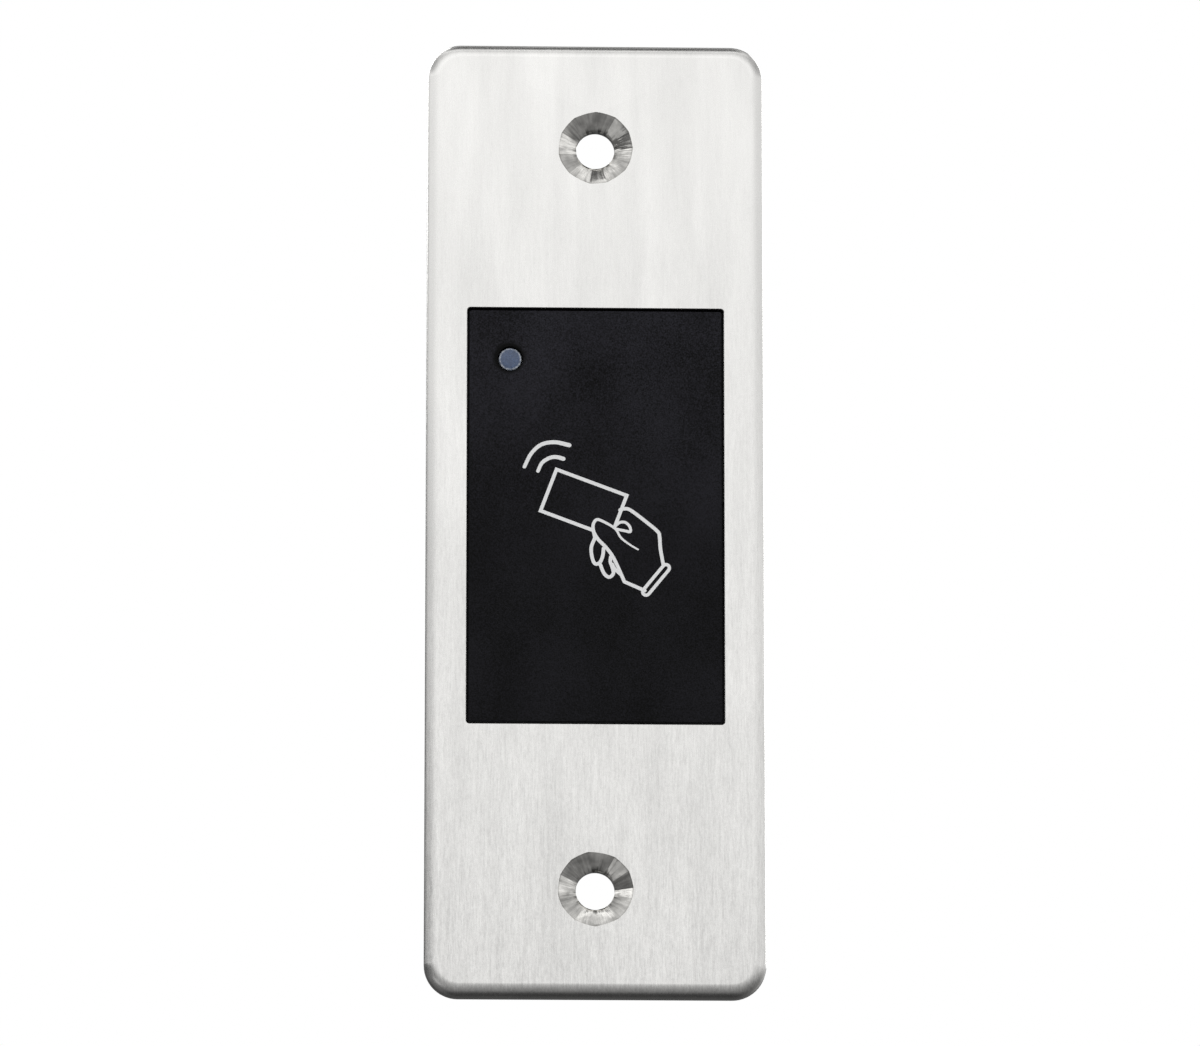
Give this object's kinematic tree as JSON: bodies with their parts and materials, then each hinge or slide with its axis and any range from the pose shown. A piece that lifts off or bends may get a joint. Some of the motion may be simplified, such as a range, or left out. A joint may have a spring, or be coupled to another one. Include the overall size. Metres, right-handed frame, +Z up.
{
  "type": "flush rfid card reader",
  "caption": "Narrow upright card reader for a wall or frame cut-out: rounded brushed steel face plate, black reading window with a status lamp, sealed box behind",
  "frame": {"origin": "centre of the face plate's back, on the face of the wall", "axes": "+Z up along the plate, +Y into the wall, +X to the right as seen by the person who holds up a card"},
  "size_m": [0.04, 0.0216, 0.115],
  "materials": {
    "brushed_steel": "fine brushing along the height, satin",
    "black_film": "finely textured polycarbonate overlay",
    "pictogram_ink": "pale grey screen print",
    "black_shell": "spark-eroded moulded ABS",
    "black_rubber": "matt",
    "clear_plastic": "clear, slightly smoky polycarbonate",
    "label_stock": "satin printed label",
    "green_board": "green solder mask",
    "copper_wire": "enamelled copper winding wire",
    "chip_plastic": "moulded epoxy, leads tinned",
    "tinned_can": "drawn can, satin",
    "white_plastic": "natural nylon",
    "ceramic": "fired ceramic",
    "screw_steel": "bright zinc plate"
  },
  "bodies": {
    "root": {"face_plate": "brushed_steel", "front_film": "black_film", "front_housing": "black_shell", "window_seal": "black_rubber", "cover_seal": "black_rubber", "rear_cover": "black_shell", "cable_grommet": "black_rubber", "wiring_label": "label_stock", "tamper_window": "clear_plastic", "led_light_pipe": "clear_plastic", "indicator_led": "white_plastic", "antenna_coil": "copper_wire", "antenna_tail_1": "copper_wire", "antenna_tail_2": "copper_wire", "circuit_board": "green_board", "wire_header": "white_plastic", "microcontroller": "chip_plastic", "rf_front_end": "chip_plastic", "crystal": "tinned_can", "power_inductor": "chip_plastic", "voltage_regulator": "chip_plastic", "electrolytic_capacitor": "tinned_can", "buzzer": "chip_plastic", "tamper_light_sensor": "ceramic", "diode_1": "chip_plastic", "diode_2": "chip_plastic", "transistor_1": "chip_plastic", "transistor_2": "chip_plastic", "resistor_1": "chip_plastic", "resistor_2": "chip_plastic", "resistor_3": "chip_plastic", "resistor_4": "chip_plastic", "resistor_5": "chip_plastic", "resistor_6": "chip_plastic", "ceramic_capacitor_1": "ceramic", "ceramic_capacitor_2": "ceramic", "ceramic_capacitor_3": "ceramic", "housing_screw_1": "screw_steel", "housing_screw_2": "screw_steel", "housing_screw_3": "screw_steel", "housing_screw_4": "screw_steel", "cover_screw_1": "screw_steel", "cover_screw_2": "screw_steel", "cover_screw_3": "screw_steel", "cover_screw_4": "screw_steel", "board_screw_1": "screw_steel", "board_screw_2": "screw_steel"}
  },
  "joints": []
}
